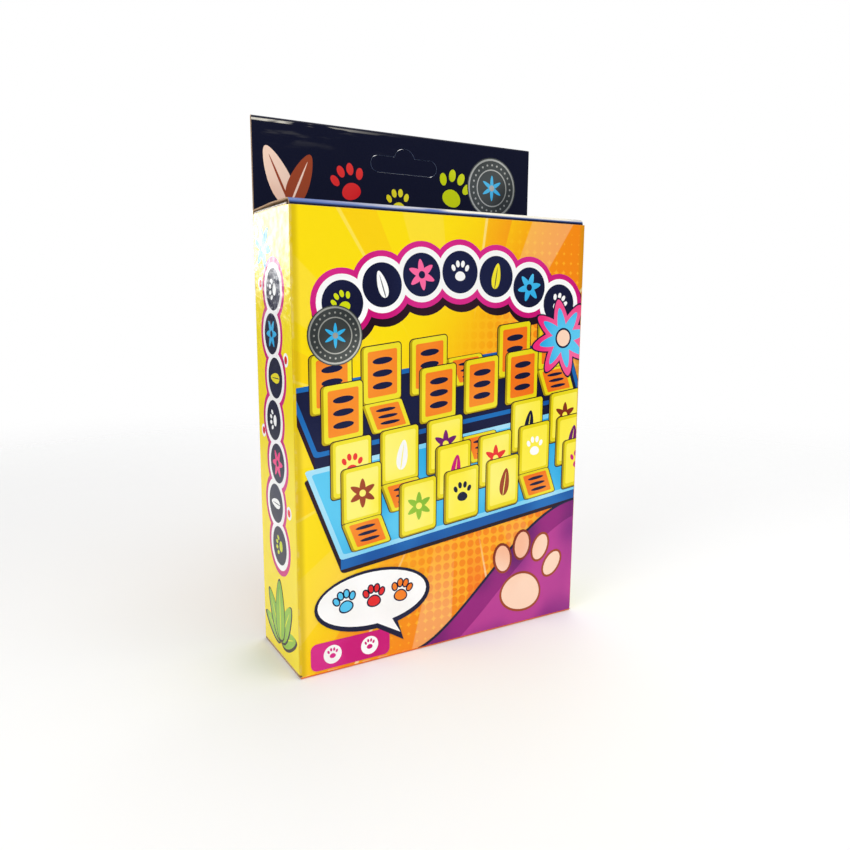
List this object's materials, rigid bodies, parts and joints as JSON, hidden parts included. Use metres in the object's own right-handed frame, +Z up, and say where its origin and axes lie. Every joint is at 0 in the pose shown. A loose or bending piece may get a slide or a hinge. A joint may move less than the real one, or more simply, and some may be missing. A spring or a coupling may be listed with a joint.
{
  "type": "boxed guessing game",
  "caption": "Hang-tab folding carton with a tuck lid, packed with a guessing game: facing trays of hinged card frames, score sliders, a deck of cards and a folded leaflet.",
  "frame": {"origin": "on the surface the carton stands on, under the middle of the carton", "axes": "+Z up along the carton's height, +Y from the front panel to the back panel, +X to the right of someone facing the front panel"},
  "size_m": [0.1348, 0.042, 0.2139],
  "materials": {
    "printed_board": "gloss laminated print on folding board",
    "navy_board": "gloss laminated print on folding board",
    "flap_board": "gloss laminated print outside, raw board inside",
    "blue_plastic": "moulded, satin gloss",
    "navy_plastic": "moulded, satin gloss",
    "yellow_plastic": "moulded, satin gloss",
    "card_stock": "coated printed card",
    "leaflet_paper": "uncoated paper"
  },
  "bodies": {
    "carton": {"carton_sleeve": "printed_board", "tray_blue": "blue_plastic", "tray_navy": "navy_plastic", "mystery_card_deck": "card_stock", "rules_leaflet": "leaflet_paper"},
    "lid": {"lid_panel": "navy_board"},
    "lid_tuck": {"lid_tuck_flap": "navy_board"},
    "dust_left": {"dust_flap_left": "flap_board"},
    "dust_right": {"dust_flap_right": "flap_board"},
    "bottom": {"bottom_panel": "printed_board"},
    "bottom_tuck": {"bottom_tuck_flap": "printed_board"},
    "bottom_dust_left": {"bottom_dust_flap_left": "flap_board"},
    "bottom_dust_right": {"bottom_dust_flap_right": "flap_board"},
    "slot_plug": {"hang_slot_plug": "navy_board"},
    "score_blue": {"score_slider_blue": "yellow_plastic"},
    "flip_blue_1_1": {"frame_blue_1_1": "yellow_plastic"},
    "flip_blue_1_2": {"frame_blue_1_2": "yellow_plastic"},
    "flip_blue_1_3": {"frame_blue_1_3": "yellow_plastic"},
    "flip_blue_1_4": {"frame_blue_1_4": "yellow_plastic"},
    "flip_blue_1_5": {"frame_blue_1_5": "yellow_plastic"},
    "flip_blue_2_1": {"frame_blue_2_1": "yellow_plastic"},
    "flip_blue_2_2": {"frame_blue_2_2": "yellow_plastic"},
    "flip_blue_2_3": {"frame_blue_2_3": "yellow_plastic"},
    "flip_blue_2_4": {"frame_blue_2_4": "yellow_plastic"},
    "flip_blue_2_5": {"frame_blue_2_5": "yellow_plastic"},
    "flip_blue_3_1": {"frame_blue_3_1": "yellow_plastic"},
    "flip_blue_3_2": {"frame_blue_3_2": "yellow_plastic"},
    "flip_blue_3_3": {"frame_blue_3_3": "yellow_plastic"},
    "flip_blue_3_4": {"frame_blue_3_4": "yellow_plastic"},
    "flip_blue_3_5": {"frame_blue_3_5": "yellow_plastic"},
    "flip_blue_4_1": {"frame_blue_4_1": "yellow_plastic"},
    "flip_blue_4_2": {"frame_blue_4_2": "yellow_plastic"},
    "flip_blue_4_3": {"frame_blue_4_3": "yellow_plastic"},
    "flip_blue_4_4": {"frame_blue_4_4": "yellow_plastic"},
    "flip_blue_4_5": {"frame_blue_4_5": "yellow_plastic"},
    "score_navy": {"score_slider_navy": "yellow_plastic"},
    "flip_navy_1_1": {"frame_navy_1_1": "yellow_plastic"},
    "flip_navy_1_2": {"frame_navy_1_2": "yellow_plastic"},
    "flip_navy_1_3": {"frame_navy_1_3": "yellow_plastic"},
    "flip_navy_1_4": {"frame_navy_1_4": "yellow_plastic"},
    "flip_navy_1_5": {"frame_navy_1_5": "yellow_plastic"},
    "flip_navy_2_1": {"frame_navy_2_1": "yellow_plastic"},
    "flip_navy_2_2": {"frame_navy_2_2": "yellow_plastic"},
    "flip_navy_2_3": {"frame_navy_2_3": "yellow_plastic"},
    "flip_navy_2_4": {"frame_navy_2_4": "yellow_plastic"},
    "flip_navy_2_5": {"frame_navy_2_5": "yellow_plastic"},
    "flip_navy_3_1": {"frame_navy_3_1": "yellow_plastic"},
    "flip_navy_3_2": {"frame_navy_3_2": "yellow_plastic"},
    "flip_navy_3_3": {"frame_navy_3_3": "yellow_plastic"},
    "flip_navy_3_4": {"frame_navy_3_4": "yellow_plastic"},
    "flip_navy_3_5": {"frame_navy_3_5": "yellow_plastic"},
    "flip_navy_4_1": {"frame_navy_4_1": "yellow_plastic"},
    "flip_navy_4_2": {"frame_navy_4_2": "yellow_plastic"},
    "flip_navy_4_3": {"frame_navy_4_3": "yellow_plastic"},
    "flip_navy_4_4": {"frame_navy_4_4": "yellow_plastic"},
    "flip_navy_4_5": {"frame_navy_4_5": "yellow_plastic"}
  },
  "joints": [
    {"name": "lid_hinge", "type": "hinge", "parent": "carton", "child": "lid", "pos_m": [0, 0.0196, 0.1785], "axis": [1, 0, 0], "range_deg": [-80, 0]},
    {"name": "lid_tuck_fold", "type": "hinge", "parent": "lid", "child": "lid_tuck", "pos_m": [0, -0.0192, 0.1766], "axis": [1, 0, 0], "range_deg": [0, 52]},
    {"name": "dust_left_fold", "type": "hinge", "parent": "carton", "child": "dust_left", "pos_m": [-0.06742, 0, 0.1768], "axis": [0, 1, 0], "range_deg": [-64, 0]},
    {"name": "dust_right_fold", "type": "hinge", "parent": "carton", "child": "dust_right", "pos_m": [0.06742, 0, 0.1768], "axis": [0, 1, 0], "range_deg": [0, 64]},
    {"name": "bottom_hinge", "type": "hinge", "parent": "carton", "child": "bottom", "pos_m": [0, -0.021, 0.0009], "axis": [1, 0, 0], "range_deg": [-100, 0]},
    {"name": "bottom_tuck_fold", "type": "hinge", "parent": "bottom", "child": "bottom_tuck", "pos_m": [0, 0.0192, 0.0013], "axis": [1, 0, 0], "range_deg": [0, 65]},
    {"name": "bottom_dust_left_fold", "type": "hinge", "parent": "carton", "child": "bottom_dust_left", "pos_m": [-0.06742, 0, 0.0017], "axis": [0, 1, 0], "range_deg": [0, 80]},
    {"name": "bottom_dust_right_fold", "type": "hinge", "parent": "carton", "child": "bottom_dust_right", "pos_m": [0.06742, 0, 0.0017], "axis": [0, 1, 0], "range_deg": [-80, 0]},
    {"name": "slot_plug_push", "type": "slide", "parent": "carton", "child": "slot_plug", "axis": [0, 1, 0], "range_m": [0, 0.015]},
    {"name": "score_blue_slide", "type": "slide", "parent": "carton", "child": "score_blue", "axis": [0, 0, 1], "range_m": [0, 0.0478]},
    {"name": "flip_blue_1_1_pins", "type": "hinge", "parent": "carton", "child": "flip_blue_1_1", "pos_m": [-0.02922, -0.0154, 0.02415], "axis": [0, 0, -1], "range_deg": [0, 98]},
    {"name": "flip_blue_1_2_pins", "type": "hinge", "parent": "carton", "child": "flip_blue_1_2", "pos_m": [-0.02922, -0.0154, 0.05065], "axis": [0, 0, -1], "range_deg": [0, 98]},
    {"name": "flip_blue_1_3_pins", "type": "hinge", "parent": "carton", "child": "flip_blue_1_3", "pos_m": [-0.02922, -0.0154, 0.07715], "axis": [0, 0, -1], "range_deg": [0, 98]},
    {"name": "flip_blue_1_4_pins", "type": "hinge", "parent": "carton", "child": "flip_blue_1_4", "pos_m": [-0.02922, -0.0154, 0.10365], "axis": [0, 0, -1], "range_deg": [0, 98]},
    {"name": "flip_blue_1_5_pins", "type": "hinge", "parent": "carton", "child": "flip_blue_1_5", "pos_m": [-0.02922, -0.0154, 0.13015], "axis": [0, 0, -1], "range_deg": [0, 98]},
    {"name": "flip_blue_2_1_pins", "type": "hinge", "parent": "carton", "child": "flip_blue_2_1", "pos_m": [-0.00231, -0.0154, 0.02415], "axis": [0, 0, -1], "range_deg": [0, 98]},
    {"name": "flip_blue_2_2_pins", "type": "hinge", "parent": "carton", "child": "flip_blue_2_2", "pos_m": [-0.00231, -0.0154, 0.05065], "axis": [0, 0, -1], "range_deg": [0, 98]},
    {"name": "flip_blue_2_3_pins", "type": "hinge", "parent": "carton", "child": "flip_blue_2_3", "pos_m": [-0.00231, -0.0154, 0.07715], "axis": [0, 0, -1], "range_deg": [0, 98]},
    {"name": "flip_blue_2_4_pins", "type": "hinge", "parent": "carton", "child": "flip_blue_2_4", "pos_m": [-0.00231, -0.0154, 0.10365], "axis": [0, 0, -1], "range_deg": [0, 98]},
    {"name": "flip_blue_2_5_pins", "type": "hinge", "parent": "carton", "child": "flip_blue_2_5", "pos_m": [-0.00231, -0.0154, 0.13015], "axis": [0, 0, -1], "range_deg": [0, 98]},
    {"name": "flip_blue_3_1_pins", "type": "hinge", "parent": "carton", "child": "flip_blue_3_1", "pos_m": [0.02458, -0.0154, 0.02415], "axis": [0, 0, -1], "range_deg": [0, 98]},
    {"name": "flip_blue_3_2_pins", "type": "hinge", "parent": "carton", "child": "flip_blue_3_2", "pos_m": [0.02458, -0.0154, 0.05065], "axis": [0, 0, -1], "range_deg": [0, 98]},
    {"name": "flip_blue_3_3_pins", "type": "hinge", "parent": "carton", "child": "flip_blue_3_3", "pos_m": [0.02458, -0.0154, 0.07715], "axis": [0, 0, -1], "range_deg": [0, 98]},
    {"name": "flip_blue_3_4_pins", "type": "hinge", "parent": "carton", "child": "flip_blue_3_4", "pos_m": [0.02458, -0.0154, 0.10365], "axis": [0, 0, -1], "range_deg": [0, 98]},
    {"name": "flip_blue_3_5_pins", "type": "hinge", "parent": "carton", "child": "flip_blue_3_5", "pos_m": [0.02458, -0.0154, 0.13015], "axis": [0, 0, -1], "range_deg": [0, 98]},
    {"name": "flip_blue_4_1_pins", "type": "hinge", "parent": "carton", "child": "flip_blue_4_1", "pos_m": [0.05149, -0.0154, 0.02415], "axis": [0, 0, -1], "range_deg": [0, 98]},
    {"name": "flip_blue_4_2_pins", "type": "hinge", "parent": "carton", "child": "flip_blue_4_2", "pos_m": [0.05149, -0.0154, 0.05065], "axis": [0, 0, -1], "range_deg": [0, 98]},
    {"name": "flip_blue_4_3_pins", "type": "hinge", "parent": "carton", "child": "flip_blue_4_3", "pos_m": [0.05149, -0.0154, 0.07715], "axis": [0, 0, -1], "range_deg": [0, 98]},
    {"name": "flip_blue_4_4_pins", "type": "hinge", "parent": "carton", "child": "flip_blue_4_4", "pos_m": [0.05149, -0.0154, 0.10365], "axis": [0, 0, -1], "range_deg": [0, 98]},
    {"name": "flip_blue_4_5_pins", "type": "hinge", "parent": "carton", "child": "flip_blue_4_5", "pos_m": [0.05149, -0.0154, 0.13015], "axis": [0, 0, -1], "range_deg": [0, 98]},
    {"name": "score_navy_slide", "type": "slide", "parent": "carton", "child": "score_navy", "axis": [0, 0, 1], "range_m": [0, 0.0478]},
    {"name": "flip_navy_1_1_pins", "type": "hinge", "parent": "carton", "child": "flip_navy_1_1", "pos_m": [0.01948, 0.0138, 0.02415], "axis": [0, 0, -1], "range_deg": [0, 98]},
    {"name": "flip_navy_1_2_pins", "type": "hinge", "parent": "carton", "child": "flip_navy_1_2", "pos_m": [0.01948, 0.0138, 0.05065], "axis": [0, 0, -1], "range_deg": [0, 98]},
    {"name": "flip_navy_1_3_pins", "type": "hinge", "parent": "carton", "child": "flip_navy_1_3", "pos_m": [0.01948, 0.0138, 0.07715], "axis": [0, 0, -1], "range_deg": [0, 98]},
    {"name": "flip_navy_1_4_pins", "type": "hinge", "parent": "carton", "child": "flip_navy_1_4", "pos_m": [0.01948, 0.0138, 0.10365], "axis": [0, 0, -1], "range_deg": [0, 98]},
    {"name": "flip_navy_1_5_pins", "type": "hinge", "parent": "carton", "child": "flip_navy_1_5", "pos_m": [0.01948, 0.0138, 0.13015], "axis": [0, 0, -1], "range_deg": [0, 98]},
    {"name": "flip_navy_2_1_pins", "type": "hinge", "parent": "carton", "child": "flip_navy_2_1", "pos_m": [-0.00741, 0.0138, 0.02415], "axis": [0, 0, -1], "range_deg": [0, 98]},
    {"name": "flip_navy_2_2_pins", "type": "hinge", "parent": "carton", "child": "flip_navy_2_2", "pos_m": [-0.00741, 0.0138, 0.05065], "axis": [0, 0, -1], "range_deg": [0, 98]},
    {"name": "flip_navy_2_3_pins", "type": "hinge", "parent": "carton", "child": "flip_navy_2_3", "pos_m": [-0.00741, 0.0138, 0.07715], "axis": [0, 0, -1], "range_deg": [0, 98]},
    {"name": "flip_navy_2_4_pins", "type": "hinge", "parent": "carton", "child": "flip_navy_2_4", "pos_m": [-0.00741, 0.0138, 0.10365], "axis": [0, 0, -1], "range_deg": [0, 98]},
    {"name": "flip_navy_2_5_pins", "type": "hinge", "parent": "carton", "child": "flip_navy_2_5", "pos_m": [-0.00741, 0.0138, 0.13015], "axis": [0, 0, -1], "range_deg": [0, 98]},
    {"name": "flip_navy_3_1_pins", "type": "hinge", "parent": "carton", "child": "flip_navy_3_1", "pos_m": [-0.03431, 0.0138, 0.02415], "axis": [0, 0, -1], "range_deg": [0, 98]},
    {"name": "flip_navy_3_2_pins", "type": "hinge", "parent": "carton", "child": "flip_navy_3_2", "pos_m": [-0.03431, 0.0138, 0.05065], "axis": [0, 0, -1], "range_deg": [0, 98]},
    {"name": "flip_navy_3_3_pins", "type": "hinge", "parent": "carton", "child": "flip_navy_3_3", "pos_m": [-0.03431, 0.0138, 0.07715], "axis": [0, 0, -1], "range_deg": [0, 98]},
    {"name": "flip_navy_3_4_pins", "type": "hinge", "parent": "carton", "child": "flip_navy_3_4", "pos_m": [-0.03431, 0.0138, 0.10365], "axis": [0, 0, -1], "range_deg": [0, 98]},
    {"name": "flip_navy_3_5_pins", "type": "hinge", "parent": "carton", "child": "flip_navy_3_5", "pos_m": [-0.03431, 0.0138, 0.13015], "axis": [0, 0, -1], "range_deg": [0, 98]},
    {"name": "flip_navy_4_1_pins", "type": "hinge", "parent": "carton", "child": "flip_navy_4_1", "pos_m": [-0.06121, 0.0138, 0.02415], "axis": [0, 0, -1], "range_deg": [0, 98]},
    {"name": "flip_navy_4_2_pins", "type": "hinge", "parent": "carton", "child": "flip_navy_4_2", "pos_m": [-0.06121, 0.0138, 0.05065], "axis": [0, 0, -1], "range_deg": [0, 98]},
    {"name": "flip_navy_4_3_pins", "type": "hinge", "parent": "carton", "child": "flip_navy_4_3", "pos_m": [-0.06121, 0.0138, 0.07715], "axis": [0, 0, -1], "range_deg": [0, 98]},
    {"name": "flip_navy_4_4_pins", "type": "hinge", "parent": "carton", "child": "flip_navy_4_4", "pos_m": [-0.06121, 0.0138, 0.10365], "axis": [0, 0, -1], "range_deg": [0, 98]},
    {"name": "flip_navy_4_5_pins", "type": "hinge", "parent": "carton", "child": "flip_navy_4_5", "pos_m": [-0.06121, 0.0138, 0.13015], "axis": [0, 0, -1], "range_deg": [0, 98]}
  ],
  "couplings": [
    {"joint": "lid_tuck_fold", "follows": "lid_hinge", "ratio": -0.65},
    {"joint": "dust_left_fold", "follows": "lid_hinge", "ratio": 0.8},
    {"joint": "dust_right_fold", "follows": "lid_hinge", "ratio": -0.8},
    {"joint": "bottom_tuck_fold", "follows": "bottom_hinge", "ratio": -0.65},
    {"joint": "bottom_dust_left_fold", "follows": "bottom_hinge", "ratio": -0.8},
    {"joint": "bottom_dust_right_fold", "follows": "bottom_hinge", "ratio": 0.8}
  ]
}
